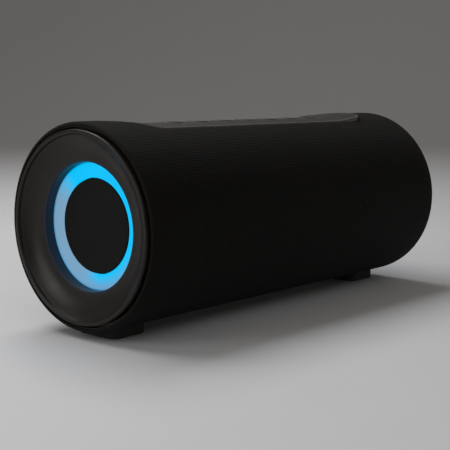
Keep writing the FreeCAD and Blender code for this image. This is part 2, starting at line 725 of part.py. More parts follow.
# ---------------------------------------------------------------- fabric and grille sleeves
fabricEnds = turned("fabric_outside", [
    ("-sleeveHalf", 0),
    ("-sleeveHalf", "bodyRadius", "endRounding"),
    ("sleeveHalf", "bodyRadius", "endRounding"),
    ("sleeveHalf", 0),
])
place(fabricEnds, 0, 0, "axisHeight")
grilleBarrel = barrel("grille_barrel", "(sleeveHalf - fabricThickness)", "grilleOutside")
hemBarrel = barrel("hem_barrel", "overallLength / 2", "bodyRadius - endHem")
fabricSleeve = cut("fabric_sleeve",
                   cut("fabric_solid", fabricEnds, aboveFabric),
                   cut("fabric_core", fuse("fabric_core_barrels", grilleBarrel, hemBarrel), aboveGrille),
                   trimOpening, doorOpening, *footOpenings)
grilleFrame = cut("grille_frame",
                  cut("grille_solid", grilleBarrel, aboveGrille),
                  cut("grille_core", barrel("grille_bore", "overallLength / 2", "grilleInside"), underGrille),
                  trimOpening, doorOpening, *footOpenings, grilleSlots())
keep(fabricSleeve, grilleFrame)


# ---------------------------------------------------------------- screws that hold the ends and the feet


def caseScrews():
    """Four radial screws in each end, and two upright ones in each foot, with the holes that they need."""
    screws, holes = [], []
    for side, (sign, rotation) in END.items():
        for number, turn in enumerate(DIAGONALS):
            out = V(0, math.sin(turn), math.cos(turn))
            y, z = around("headSeat", turn)
            tag = f"{side}_end_{number}"
            x = f"{sign} * endScrewX"
            screws.append(screwAt(tag + "_screw", x, y, z, out * -1))
            holes.append(rod(tag + "_head_hole", x, y, z, "screwHeadRadius + screwFit",
                             "screwHeadHeight + 1", out))
            holes.append(rod(tag + "_hole", x, y, z, "screwRadius + screwFit",
                             "screwLength + screwFit", out * -1))
        for number, front in enumerate((-1, 1)):
            tag = f"{side}_foot_{number}"
            x, y = f"{sign} * footScrewX", f"{front} * footScrewOffset"
            screws.append(screwAt(tag + "_screw", x, y, "footRecess + screwHeadHeight", V(0, 0, 1)))
            holes.append(rod(tag + "_head_hole", x, y, -1, "screwHeadRadius + screwFit",
                             "footRecess + screwHeadHeight + 1", V(0, 0, 1)))
            holes.append(rod(tag + "_hole", x, y, 0, "screwRadius + screwFit",
                             "footRecess + screwHeadHeight + screwLength + screwFit", V(0, 0, 1)))
    return group("case_screws", screws), fuse("case_screw_holes", *holes)


caseScrewGroup, caseScrewHoles = caseScrews()
keep(caseScrewGroup)
for side in END:
    bezel = next(piece for piece in parts if piece.Label == side + "_bezel")
    parts[parts.index(bezel)] = cut(side + "_dish", bezel, caseScrewHoles)


# ---------------------------------------------------------------- feet
def foot(side, sign):
    """A rubber block with a hollow top that beds on the shells and a chamfered sole."""
    block = footPrism(side + "_foot_block", sign, "0", "axisHeight / 2")
    doc.recompute()
    pad = block.Tip
    lowEdges = [f"Edge{i + 1}" for i, edge in enumerate(pad.Shape.Edges) if edge.BoundBox.ZMax < 0.01]
    sole = block.newObject("PartDesign::Chamfer", side + "_sole")
    sole.Base = (pad, lowEdges)
    bind(sole, Size="footChamfer")
    bed = barrel(side + "_foot_bed", "overallLength / 2", "shellOutside + slideFit")
    return cut(side + "_foot", block, bed, caseScrewHoles)


keep(foot("left", -1), foot("right", 1))


# ---------------------------------------------------------------- front and rear shells
shellSolid = cut("shell_solid", barrel("shell_barrel", "shellHalf", "shellOutside"), aboveShell)
shellCore = cut("shell_core", barrel("shell_bore", "overallLength / 2", "shellInside"), underShell)


def footBosses(front):
    bosses = []
    for side, (sign, rotation) in END.items():
        bosses.append(rod(f"{side}_boss_{'front' if front < 0 else 'rear'}", f"{sign} * footScrewX",
                          f"{front} * footScrewOffset", "axisHeight - shellInside + bossLift", "postRadius",
                          "screwLength", V(0, 0, 1)))
    return bosses


def frontShell():
    """The front half, with a flat baffle sunk behind the grille and round openings for the drivers."""
    half = slab("front_half", "overallLength", "-bodyRadius", "0", "-bodyRadius", "bodyRadius")
    zone = slab("baffle_zone", "(baffleHalfLength + baffleWall)", "-bodyRadius",
                "(-baffleDepth + baffleWall)", "-bodyRadius", "bodyRadius")
    recess = slab("baffle_recess", "baffleHalfLength", "-bodyRadius", "-baffleDepth", "-baffleHalfHeight",
                  "baffleHalfHeight")
    holes = []
    for side, (sign, rotation) in END.items():
        for name, offset, radius in (("woofer", "wooferOffset", "wooferHole"),
                                     ("tweeter", "tweeterOffset", "tweeterBody + slideFit")):
            holes.append(rod(f"{side}_{name}_hole", f"{sign} * {offset}", "-bodyRadius", "axisHeight", radius,
                             "bodyRadius - 5", V(0, 1, 0)))
        for number, turn in enumerate(DIAGONALS):
            x = f"{sign} * wooferOffset + {math.sin(turn):.9f} * wooferScrewCircle"
            z = f"axisHeight + {math.cos(turn):.9f} * wooferScrewCircle"
            holes.append(rod(f"{side}_woofer_screw_hole_{number}", x, "-baffleDepth - 1", z,
                             "screwRadius + screwFit", "bodyRadius - baffleDepth", V(0, 1, 0)))
    walls = cut("front_walls", common("front_solid", shellSolid, half), cut("front_cavity", shellCore, zone))
    return cut("front_shell", fuse("front_with_bosses", walls, *footBosses(-1)), recess, *holes, trayOpening,
               caseScrewHoles)


def rearShell():
    """The rear half, with the opening for the port tub."""
    half = slab("rear_half", "overallLength", "0", "bodyRadius", "-bodyRadius", "bodyRadius")
    window = slab("port_window", "(tubHalfLength + slideFit)", "portFloor / 2", "bodyRadius",
                  "(-tubHalfHeight - slideFit)", "(tubHalfHeight + slideFit)")
    walls = cut("rear_walls", common("rear_solid", shellSolid, half), shellCore)
    return cut("rear_shell", fuse("rear_with_bosses", walls, *footBosses(1)), window, trayOpening,
               caseScrewHoles)


keep(frontShell(), rearShell())


# ---------------------------------------------------------------- control panel, its trim, tray and buttons
BUTTONS = ["power_button", "pairing_button", "light_button", "volume_down_button", "play_button",
           "volume_up_button", "sound_mode_button"]


def buttonX(number):
    return f"{number - (len(BUTTONS) - 1) / 2} * buttonPitch"


def controlPanel():
    strip = cut("panel_strip", underPanel, aboveFabric)
    plate = common("panel_plate", strip, panelPrism("panel_outline", "(trimWidth + panelGap)"))
    holes = [rod(name + "_hole", buttonX(number), 0, "axisHeight", "buttonRadius + buttonGap",
                 "bodyRadius + 5", V(0, 0, 1)) for number, name in enumerate(BUTTONS)]
    return cut("control_panel", plate, *holes)


def panelTrim():
    strip = cut("trim_strip", underTrim, aboveTrim)
    ring = cut("trim_ring", panelPrism("trim_outside", "0"), panelPrism("trim_inside", "trimWidth"))
    return common("panel_trim", strip, ring)


def controlTray():
    """The tub under the panel that seals the cabinet, open at the top."""
    block = panelPrism("tray_outside", "(trimWidth + coverGap)")
    hollow = panelPrism("tray_inside", "(trimWidth + coverGap + trayWall)")
    floor = "(panelFace - trayDepth)"
    under = slab("tray_under", "overallLength", "-bodyRadius", "bodyRadius", "-bodyRadius",
                 f"({floor} - trayWall - axisHeight)")
    low = slab("tray_floor", "overallLength", "-bodyRadius", "bodyRadius", "-bodyRadius",
               f"({floor} - axisHeight)")
    return cut("control_tray", block, cut("tray_hollow", hollow, low), under, underPanel)


def switchBoard():
    half = f"({len(BUTTONS) / 2} * buttonPitch)"
    return box("switch_board", f"-{half}", "-switchBoardHalfWidth", "switchBoardFace - switchBoardThickness",
               f"2 * {half}", "2 * switchBoardHalfWidth", "switchBoardThickness")


def switches():
    return group("button_switches", [
        box(name + "_switch", f"{buttonX(number)} - switchSize / 2", "-switchSize / 2", "switchBoardFace",
            "switchSize", "switchSize", "switchHeight") for number, name in enumerate(BUTTONS)])


def button(number, name):
    """A round cap with a collar under the panel and a stem down to its switch, drawn down from its face."""
    face = "(panelFace + buttonProud)"
    collar = f"({face} - collarTop)"
    back = f"{collar} + collarThickness"
    stem = f"({face} - switchBoardFace - switchHeight - buttonTravel - stemGap)"
    cap = turned(name, [
        (0, 0),
        (0, "buttonRadius", "buttonRounding"),
        (collar, "buttonRadius"),
        (collar, "buttonRadius + buttonFlange"),
        (back, "buttonRadius + buttonFlange"),
        (back, "stemRadius"),
        (stem, "stemRadius"),
        (stem, 0),
    ])
    return place(cap, buttonX(number), 0, face, FreeCAD.Rotation(V(1, 0, 0), V(0, 0, -1)))


keep(controlPanel(), panelTrim(), controlTray(), switchBoard(), switches())
for number, name in enumerate(BUTTONS):
    keep(button(number, name))


# ---------------------------------------------------------------- port tub, its sockets and the hinged door


def hingeRod(name, left, length, radius):
    return rod(name, left, "hingeY", "axisHeight + hingeZ", radius, length, V(1, 0, 0))


def hingeEars():
    """Two ears, one past each end of the knuckle, standing on the sill."""
    ears = []
    for number, start in enumerate(("-earStart - earLength", "earStart")):
        ears.append(hingeRod(f"ear_{number}", start, "earLength", "hingeRadius"))
        ears.append(box(f"ear_web_{number}", start, "hingeY - hingeRadius", "axisHeight - portHalfHeight",
                        "earLength", "hingeRadius * 2 - 0.2", "portHalfHeight + hingeZ"))
    return ears


def portTub():
    """A shallow tub with two socket openings, a sill under the door and the ears of its hinge."""
    inside = "(portHalfLength - sealLap)"
    outer = slab("tub_block", "tubHalfLength", "portFloor - portWall", "bodyRadius", "-tubHalfHeight",
                 "tubHalfHeight")
    walls = common("tub_walls", outer, barrel("tub_limit", "overallLength / 2", "shellOutside"))
    hollow = slab("tub_hollow", inside, "portFloor", "bodyRadius + 2", "(-portHalfHeight + sealLap)",
                  "(portHalfHeight - sealLap)")
    sillBox = slab("sill_box", "portHalfLength", "portFloor", "bodyRadius + 2", "-portHalfHeight", "sillTop")
    sillTube = cut("sill_tube", barrel("sill_outside", "overallLength / 2", "bodyRadius - doorSink"),
                   barrel("sill_inside", "overallLength / 2", "shellOutside - 0.5"))
    body = fuse("tub_body", cut("tub_shell", walls, hollow), common("sill", sillBox, sillTube), *hingeEars())
    jack = rod("jack_hole", "jackOffset", "portFloor - 5", "axisHeight", "jackRadius", 8, V(0, 1, 0))
    charge = box("charge_hole", "-jackOffset - chargeHalfWidth", "portFloor - 5",
                 "axisHeight - chargeHalfHeight", "chargeHalfWidth * 2", 8, "chargeHalfHeight * 2")
    pinBore = hingeRod("ear_bore", "-portHalfLength", "portHalfLength * 2", "hingePin + screwFit")
    return cut("port_tub", body, jack, charge, pinBore)


def portDoor():
    """A curved flap flush with the fabric, with a knuckle along its lower edge between the two ears."""
    flap = common("door_flap",
                  slab("door_block", "portHalfLength", "portFloor", "bodyRadius + 2", "hingeZ",
                       "portHalfHeight"),
                  cut("door_tube", barrel("door_outside", "overallLength / 2", "bodyRadius - doorSink"),
                      barrel("door_inside", "overallLength / 2", "doorInside")))
    knuckle = hingeRod("door_knuckle", "-knuckleHalfLength", "knuckleHalfLength * 2", "hingeRadius")
    notches = [box(f"door_notch_{number}", start, "portFloor", "axisHeight - portHalfHeight",
                   "earLength + 2 * hingeSideGap", "bodyRadius - portFloor + 2",
                   "portHalfHeight + hingeZ + hingeRadius + hingeGap")
               for number, start in enumerate(("-earStart - earLength - hingeSideGap",
                                               "earStart - hingeSideGap"))]
    bore = hingeRod("knuckle_bore", "-portHalfLength", "portHalfLength * 2", "hingePin + screwFit")
    return cut("port_door", fuse("door_body", flap, knuckle), bore, *notches)


def hingePin():
    return hingeRod("port_hinge_pin", "-earStart - earLength", "2 * (earStart + earLength)", "hingePin")


def audioSocket():
    tube = rod("audio_tube", "jackOffset", "portFloor - socketLength", "axisHeight", "jackRadius",
               "socketLength", V(0, 1, 0))
    bore = rod("audio_bore", "jackOffset", "portFloor - socketLength + 1", "axisHeight", "jackBore",
               "socketLength", V(0, 1, 0))
    return cut("audio_socket", tube, bore)


def chargeSocket():
    """A flat metal shell around a tongue."""
    left, low = "(-jackOffset - chargeHalfWidth)", "(axisHeight - chargeHalfHeight)"
    shell = box("charge_shell", left, "portFloor - socketLength", low, "chargeHalfWidth * 2", "socketLength",
                "chargeHalfHeight * 2")
    mouth = box("charge_mouth", f"{left} + socketWall", "portFloor - socketLength + 1",
                f"{low} + socketWall", "chargeHalfWidth * 2 - socketWall * 2", "socketLength",
                "chargeHalfHeight * 2 - socketWall * 2")
    tongue = box("charge_tongue", f"{left} + chargeHalfWidth * 0.4", "portFloor - socketLength + 0.5",
                 "axisHeight - 0.35", "chargeHalfWidth * 1.2", "socketLength - 1.5", 0.7)
    return fuse("charge_socket", cut("charge_can", shell, mouth), tongue)


keep(portTub(), portDoor(), hingePin(), audioSocket(), chargeSocket())


# ---------------------------------------------------------------- boards, battery and wires
def mainBoard():
    return slab("main_board", "mainBoardHalfLength", "(portFloor - socketLength - mainBoardThickness)",
                "(portFloor - socketLength)", "-mainBoardHalfHeight", "mainBoardHalfHeight")


def cells(radius, tag):
    return [rod(f"{tag}_{number}", start, "cellSide", "axisHeight - cellDrop", radius, "cellLength",
                V(1, 0, 0)) for number, start in enumerate(("-cellLength", "0"))]


def batteryHolder():
    """A trough that follows the shell below and holds the cells end to end."""
    half = "(cellRadius + cellGap + holderWall)"
    block = slab("holder_block", "(cellLength + holderWall)", f"(cellSide - {half})", f"(cellSide + {half})",
                 f"(-cellDrop - {half})", "-cellDrop")
    limit = barrel("holder_limit", "overallLength / 2", "shellInside - 0.2")
    bore = rod("holder_bore", "-cellLength - cellGap", "cellSide", "axisHeight - cellDrop",
               "cellRadius + cellGap", "2 * (cellLength + cellGap)", V(1, 0, 0))
    return cut("battery_holder", common("holder_trough", block, limit), bore)


def speakerLoom():
    """The wires from the back of one woofer round behind the tweeters to the other."""
    path = doc.addObject("Sketcher::SketchObject", "loom_path")
    path.setExpression("Placement.Base.z", bound("axisHeight + loomRise"))
    start = "(-baffleDepth - wooferFlangeThickness + basketDepth + magnetLength + loomGap)"
    back = "(cellSide + loomSide)"
    outline(path, [
        ("-wooferOffset", start),
        ("-wooferOffset", back, "loomBend"),
        ("wooferOffset", back, "loomBend"),
        ("wooferOffset", start),
    ], closed=False)
    path.recompute()
    section = doc.addObject("Part::Circle", "loom_section")
    bind(section, Radius="loomRadius")
    place(section, "-wooferOffset", start, "axisHeight + loomRise", FreeCAD.Rotation(V(0, 0, 1), V(0, 1, 0)))
    sweep = doc.addObject("Part::Sweep", "speaker_loom")
    sweep.Sections = [section]
    sweep.Spine = (path, [f"Edge{number + 1}" for number in range(len(path.Shape.Edges))])
    sweep.Solid = True
    return sweep


keep(mainBoard(), group("battery_cells", cells("cellRadius", "cell")), batteryHolder(), speakerLoom())


# ---------------------------------------------------------------- woofers and tweeters, from the flange back
def facingFront(piece, offset, flange):
    """Turns a piece drawn with X as the depth behind its flange face to face -Y on the baffle."""
    return place(piece, offset, f"-baffleDepth - {flange}", "axisHeight", FreeCAD.Rotation(V(0, 0, 1), 90))


def woofer(side, sign):
    throatBack = "coneHeight + coneWall"
    dome = "(coneHeight - dustCapRise)"
    basket = turned(side + "_woofer_basket", [
        (0, "wooferMouth"),
        (0, "wooferFlange"),
        ("wooferFlangeThickness", "wooferFlange"),
        ("wooferFlangeThickness", "wooferMouth + basketWall"),
        ("basketDepth", "basketThroat + basketWall"),
        ("basketDepth", "basketThroat"),
        ("wooferFlangeThickness", "wooferMouth"),
    ])
    addPad(basket, side + "_basket_bores",
           [("wooferScrewCircle * 0.70710678", "wooferScrewCircle * 0.70710678", "screwRadius + screwFit")],
           "wooferFlangeThickness", "YZ_Plane", "0", cut=True, pattern="4")
    magnet = turned(side + "_woofer_magnet", [
        ("basketDepth", "coneThroat + coilWall + magnetGap"),
        ("basketDepth", "magnetRadius"),
        ("basketDepth + magnetLength", "magnetRadius"),
        ("basketDepth + magnetLength", 0),
        ("basketDepth", 0),
        ("basketDepth", "coneThroat - magnetGap"),
        ("basketDepth + magnetLength - yokeThickness", "coneThroat - magnetGap"),
        ("basketDepth + magnetLength - yokeThickness", "coneThroat + coilWall + magnetGap"),
    ])
    cone = turned(side + "_woofer_cone", [
        (dome, 0),
        (dome, "coneThroat * 0.5", 3),
        ("coneHeight", "coneThroat", 0.4),
        (0, "coneRim - surroundLand"),
        (0, "coneRim"),
        ("coneWall", "coneRim"),
        (throatBack, "coneThroat + coilWall + 0.3"),
        (throatBack, "coneThroat - 0.4"),
        (f"{dome} + coneWall", "coneThroat * 0.5 - 0.3", 3),
        (f"{dome} + coneWall", 0),
    ])
    surround = turned(side + "_woofer_surround", [
        (0, "coneRim - surroundLand"),
        (0, "coneRim", 0.4),
        ("-rollHeight + surroundThickness", "(coneRim + wooferMouth) / 2", 1.2),
        (0, "wooferMouth", 0.4),
        (0, "wooferMouth + surroundLand"),
        ("-surroundThickness", "wooferMouth + surroundLand"),
        ("-surroundThickness", "wooferMouth", 0.6),
        ("-rollHeight - 0.2", "(coneRim + wooferMouth) / 2", 1.8),
        ("-surroundThickness", "coneRim", 0.6),
        ("-surroundThickness", "coneRim - surroundLand"),
    ])
    coil = turned(side + "_voice_coil", [
        (throatBack, "coneThroat"),
        (throatBack, "coneThroat + coilWall"),
        (f"{throatBack} + coilLength", "coneThroat + coilWall"),
        (f"{throatBack} + coilLength", "coneThroat"),
    ])
    return [facingFront(piece, f"{sign} * wooferOffset", "wooferFlangeThickness")
            for piece in (basket, magnet, cone, surround, coil)]


def tweeter(side, sign):
    frame = turned(side + "_tweeter_frame", [
        (0, "domeRadius + domeFit"),
        (0, "tweeterFlange", 0.4),
        ("tweeterFlangeThickness", "tweeterFlange"),
        ("tweeterFlangeThickness", "tweeterBody"),
        ("tweeterLength", "tweeterBody"),
        ("tweeterLength", 0),
        ("domeSeat", 0),
        ("domeSeat", "domeRadius + domeFit"),
    ])
    dome = turned(side + "_tweeter_dome", [
        ("domeEdge - domeHeight", 0),
        ("domeEdge - domeHeight", "domeRadius * 0.55", 4),
        ("domeEdge", "domeRadius"),
        ("domeSeat", "domeRadius"),
        ("domeSeat", "domeRadius - domeWall"),
        ("domeEdge + domeWall - domeHeight", "domeRadius * 0.5", 3.6),
        ("domeEdge + domeWall - domeHeight", 0),
    ])
    return [facingFront(piece, f"{sign} * tweeterOffset", "tweeterFlangeThickness")
            for piece in (frame, dome)]


def wooferScrews():
    screws = []
    for side, (sign, rotation) in END.items():
        for number, turn in enumerate(DIAGONALS):
            x = f"{sign} * wooferOffset + {math.sin(turn):.9f} * wooferScrewCircle"
            z = f"axisHeight + {math.cos(turn):.9f} * wooferScrewCircle"
            screws.append(screwAt(f"{side}_woofer_screw_{number}", x,
                                  "-baffleDepth - wooferFlangeThickness", z, V(0, 1, 0)))
    return group("woofer_screws", screws)


for side, (sign, rotation) in END.items():
    keep(*woofer(side, sign), *tweeter(side, sign))
keep(wooferScrews())


# ---------------------------------------------------------------- build, check and write
doc.recompute()
faulty = [thing.Name for thing in doc.Objects if {"Invalid", "Error"} & set(thing.State)]
if faulty:
    raise SystemExit(f"these did not build: {faulty}")
for piece in parts:
    if piece.Shape.isNull() or not piece.Shape.isValid() or not piece.Shape.Solids:
        raise SystemExit(f"{piece.Label} has no sound shape")

os.makedirs("parts", exist_ok=True)
for piece in parts:
    piece.Shape.exportStep(f"parts/{piece.Label}.step")
    print(f"{piece.Label}: {len(piece.Shape.Solids)} solids, {piece.Shape.Volume:.1f} mm3")
print(f"{len(parts)} nodes")
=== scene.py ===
import json
import math

import bmesh
import bpy
from mathutils import Matrix, Vector


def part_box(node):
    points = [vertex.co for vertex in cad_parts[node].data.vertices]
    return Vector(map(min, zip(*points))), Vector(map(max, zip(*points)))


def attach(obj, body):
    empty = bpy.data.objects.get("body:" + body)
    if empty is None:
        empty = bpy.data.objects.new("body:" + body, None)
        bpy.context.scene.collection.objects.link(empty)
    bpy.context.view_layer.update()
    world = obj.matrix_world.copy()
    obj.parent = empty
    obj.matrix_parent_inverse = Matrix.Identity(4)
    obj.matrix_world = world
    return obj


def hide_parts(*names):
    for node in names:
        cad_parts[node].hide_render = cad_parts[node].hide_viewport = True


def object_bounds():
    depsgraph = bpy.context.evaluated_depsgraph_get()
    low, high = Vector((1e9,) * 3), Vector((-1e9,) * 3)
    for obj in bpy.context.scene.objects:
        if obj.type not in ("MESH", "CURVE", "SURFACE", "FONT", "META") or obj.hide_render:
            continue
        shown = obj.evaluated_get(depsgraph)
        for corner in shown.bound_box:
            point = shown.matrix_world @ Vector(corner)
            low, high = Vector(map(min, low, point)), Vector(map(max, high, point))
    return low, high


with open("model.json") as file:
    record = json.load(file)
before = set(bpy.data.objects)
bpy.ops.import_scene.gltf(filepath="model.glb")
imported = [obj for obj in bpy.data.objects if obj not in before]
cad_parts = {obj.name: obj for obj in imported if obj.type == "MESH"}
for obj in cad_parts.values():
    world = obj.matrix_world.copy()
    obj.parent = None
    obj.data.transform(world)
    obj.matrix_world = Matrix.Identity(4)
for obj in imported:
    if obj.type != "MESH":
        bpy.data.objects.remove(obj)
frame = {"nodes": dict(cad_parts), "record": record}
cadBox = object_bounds()
print("frame loaded:", len(frame["nodes"]), "nodes")

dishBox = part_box("left_dish")
axisZ = (dishBox[0].z + dishBox[1].z) / 2      # the cylinder's axis above the floor
halfLength = (cadBox[1].x - cadBox[0].x) / 2
axisPoint = Vector((0, 0, axisZ))


# ---- helpers for node trees

def addNode(tree, kind, inputs=None, **settings):
    node = tree.nodes.new(kind)
    for name, value in settings.items():
        setattr(node, name, value)
    for key, value in (inputs or {}).items():
        if isinstance(value, bpy.types.NodeSocket):
            tree.links.new(value, node.inputs[key])
        else:
            node.inputs[key].default_value = value
    return node


def maths(tree, operation, first, second=0.0, third=0.0):
    node = addNode(tree, "ShaderNodeMath", {0: first, 1: second, 2: third}, operation=operation)
    return node.outputs[0]


def fade(tree, value, low, high, toLow=0.0, toHigh=1.0):
    limits = {"Value": value, "From Min": low, "From Max": high, "To Min": toLow, "To Max": toHigh}
    return addNode(tree, "ShaderNodeMapRange", limits, interpolation_type="SMOOTHSTEP").outputs["Result"]


def blendColour(tree, factor, first, second, mode="MIX"):
    node = addNode(tree, "ShaderNodeMix", data_type="RGBA", blend_type=mode)
    for index, value in ((0, factor), (6, first), (7, second)):
        if isinstance(value, bpy.types.NodeSocket):
            tree.links.new(value, node.inputs[index])
        else:
            node.inputs[index].default_value = value if index == 0 else (*value, 1)
    return node.outputs[2]


def objectPoint(tree):
    return addNode(tree, "ShaderNodeTexCoord").outputs["Object"]


def noise(tree, scale, detail=3.0, stretch=(1, 1, 1)):
    mapping = addNode(tree, "ShaderNodeMapping", {"Vector": objectPoint(tree), "Scale": stretch})
    inputs = {"Vector": mapping.outputs[0], "Scale": scale, "Detail": detail}
    return addNode(tree, "ShaderNodeTexNoise", inputs).outputs["Fac"]


def newGroup(name, inputs, outputs):
    group = bpy.data.node_groups.new(name, "ShaderNodeTree")
    for label, value in inputs.items():
        socket = group.interface.new_socket(label, in_out="INPUT", socket_type="NodeSocketFloat")
        socket.default_value = value
    for label in outputs:
        group.interface.new_socket(label, in_out="OUTPUT", socket_type="NodeSocketFloat")
    return group, group.nodes.new("NodeGroupInput"), group.nodes.new("NodeGroupOutput")


def placeGroup(tree, group, values=None):
    node = addNode(tree, "ShaderNodeGroup", node_tree=group)
    for name, value in (values or {}).items():
        node.inputs[name].default_value = value
    return node


# ---- effects that several finishes share

def makeBarrelMap():
    # where a point lies about the cylinder's axis
    group, source, result = newGroup("barrelMap", {"Axis Height": axisZ, "Half Length": halfLength},
                                     ["Radius", "Turn", "Depth", "Rear", "Up"])
    x, y, z = addNode(group, "ShaderNodeSeparateXYZ", {0: objectPoint(group)}).outputs
    up = maths(group, "SUBTRACT", z, source.outputs["Axis Height"])
    squares = maths(group, "ADD", maths(group, "MULTIPLY", y, y), maths(group, "MULTIPLY", up, up))
    radius = maths(group, "SQRT", squares)
    depth = maths(group, "SUBTRACT", source.outputs["Half Length"], maths(group, "ABSOLUTE", x))
    safeRadius = maths(group, "MAXIMUM", radius, 0.0001)
    values = {"Radius": radius, "Turn": maths(group, "DIVIDE", maths(group, "ARCTAN2", y, up), 2 * math.pi),
              "Depth": depth, "Rear": maths(group, "DIVIDE", y, safeRadius),
              "Up": maths(group, "DIVIDE", up, safeRadius)}
    for label, value in values.items():
        group.links.new(value, result.inputs[label])
    return group


grainLook = {"broadScale": 60.0, "poreScale": 900.0, "poreShare": 0.4}


def makeMouldGrain():
    # spark-eroded grain of moulded plastic, with a broad uneven gloss
    group, source, result = newGroup("mouldGrain", {"Scale": 3000.0, "Unevenness": 0.5}, ["Height", "Gloss"])
    fine = addNode(group, "ShaderNodeTexVoronoi",
                   {"Vector": objectPoint(group), "Scale": source.outputs["Scale"]})
    broad = noise(group, grainLook["broadScale"])
    pores = maths(group, "MULTIPLY", noise(group, grainLook["poreScale"]), grainLook["poreShare"])
    height = maths(group, "ADD", fine.outputs["Distance"], pores)
    gloss = maths(group, "MULTIPLY", maths(group, "SUBTRACT", broad, 0.5), source.outputs["Unevenness"])
    group.links.new(height, result.inputs["Height"])
    group.links.new(gloss, result.inputs["Gloss"])
    return group


dustLook = {"colour": (0.22, 0.2, 0.18), "speckleScale": 220.0, "speckle": (0.35, 0.8), "facing": (0.1, 1.0)}


def makeDust():
    # a thin film of dust that settles on what faces up
    group, source, result = newGroup("dustFilm", {"Amount": 0.2}, ["Mask"])
    normal = addNode(group, "ShaderNodeNewGeometry").outputs["Normal"]
    facing = addNode(group, "ShaderNodeSeparateXYZ", {0: normal}).outputs[2]
    speckle = fade(group, noise(group, dustLook["speckleScale"], 6.0), *dustLook["speckle"])
    settled = maths(group, "MULTIPLY", fade(group, facing, *dustLook["facing"]), speckle)
    group.links.new(maths(group, "MULTIPLY", settled, source.outputs["Amount"]), result.inputs["Mask"])
    return group


scuffLook = {
    "lines": dict(scale=90.0, stretch=(1, 22, 6), limits=(0.66, 0.7)),
    "crossing": dict(scale=70.0, stretch=(16, 2, 9), limits=(0.68, 0.72)),
}


def makeScuffs():
    # fine hair scratches, in two directions
    group, source, result = newGroup("scuffs", {"Amount": 0.3}, ["Mask"])
    hairs = {way: noise(group, look["scale"], 2.0, look["stretch"]) for way, look in scuffLook.items()}
    lines, crossing = [fade(group, hairs[way], *look["limits"]) for way, look in scuffLook.items()]
    scratch = maths(group, "MAXIMUM", lines, crossing)
    group.links.new(maths(group, "MULTIPLY", scratch, source.outputs["Amount"]), result.inputs["Mask"])
    return group


barrelMap, mouldGrain, dustFilm, scuffs = makeBarrelMap(), makeMouldGrain(), makeDust(), makeScuffs()


def newFinish(name, **uniform):
    # uniform values go straight on the shader
    material = bpy.data.materials.new(name)
    material.use_nodes = True
    shader = material.node_tree.nodes["Principled BSDF"]
    for key, value in uniform.items():
        shader.inputs[key.replace("_", " ")].default_value = value
    return material, material.node_tree, shader


def setBump(tree, shader, height, distance, strength=1.0):
    bump = addNode(tree, "ShaderNodeBump", {"Height": height, "Distance": distance, "Strength": strength})
    tree.links.new(bump.outputs[0], shader.inputs["Normal"])


plasticBase = {"shine": 0.4, "unevenness": 0.25, "dust": 0.15, "scuff": 0.3, "scuffRoughness": 0.25,
               "toneScale": 35.0, "bumpStrength": 0.6}


def mouldedPlastic(name, changes):
    # two close tones, grain, an uneven gloss, dust and a few scuffs
    look = {**plasticBase, **changes}
    material, tree, shader = newFinish(name, Specular_IOR_Level=look["shine"])
    grain = placeGroup(tree, mouldGrain, {"Scale": look["grain"], "Unevenness": look["unevenness"]})
    dust = placeGroup(tree, dustFilm, {"Amount": look["dust"]})
    marks = placeGroup(tree, scuffs, {"Amount": look["scuff"]})
    patches = fade(tree, noise(tree, look["toneScale"]), 0.3, 0.7)
    tone = blendColour(tree, patches, look["colour"], look["second"])
    tree.links.new(blendColour(tree, dust.outputs[0], tone, dustLook["colour"]), shader.inputs["Base Color"])
    gloss = maths(tree, "ADD", grain.outputs["Gloss"], look["roughness"])
    gloss = maths(tree, "ADD", gloss, maths(tree, "MULTIPLY", marks.outputs[0], look["scuffRoughness"]))
    tree.links.new(maths(tree, "ADD", gloss, dust.outputs[0]), shader.inputs["Roughness"])
    setBump(tree, shader, grain.outputs["Height"], look["depth"], look["bumpStrength"])
    if "glow" in look:
        # painted glow: emission on the dish that stands in for the light spilling from the ring on to the
        # collar and the inner edge of the dish
        radius = placeGroup(tree, barrelMap).outputs["Radius"]
        spill = fade(tree, radius, look["glowReach"], look["glowStart"])
        tree.links.new(blendColour(tree, spill, (0, 0, 0), look["glow"]), shader.inputs["Emission Color"])
        shader.inputs["Emission Strength"].default_value = 1.0
    return material


# ---- finishes of the pieces that show

ringLook = {
    "cyan": (0.0, 0.53, 0.95), "sky": (0.16, 0.35, 0.56), "pale": (0.18, 0.34, 0.49), "strength": 1.0,
    "inner": 0.0233, "outer": 0.031, "edge": (0.0, 0.2, 0.42), "edgeWidth": 0.0011, "edgeOverrun": 0.0003,
    "frontFrost": (0.0, 0.02, 0.04), "rearFrost": (0.03, 0.05, 0.07), "grainDepth": 0.00003,
}


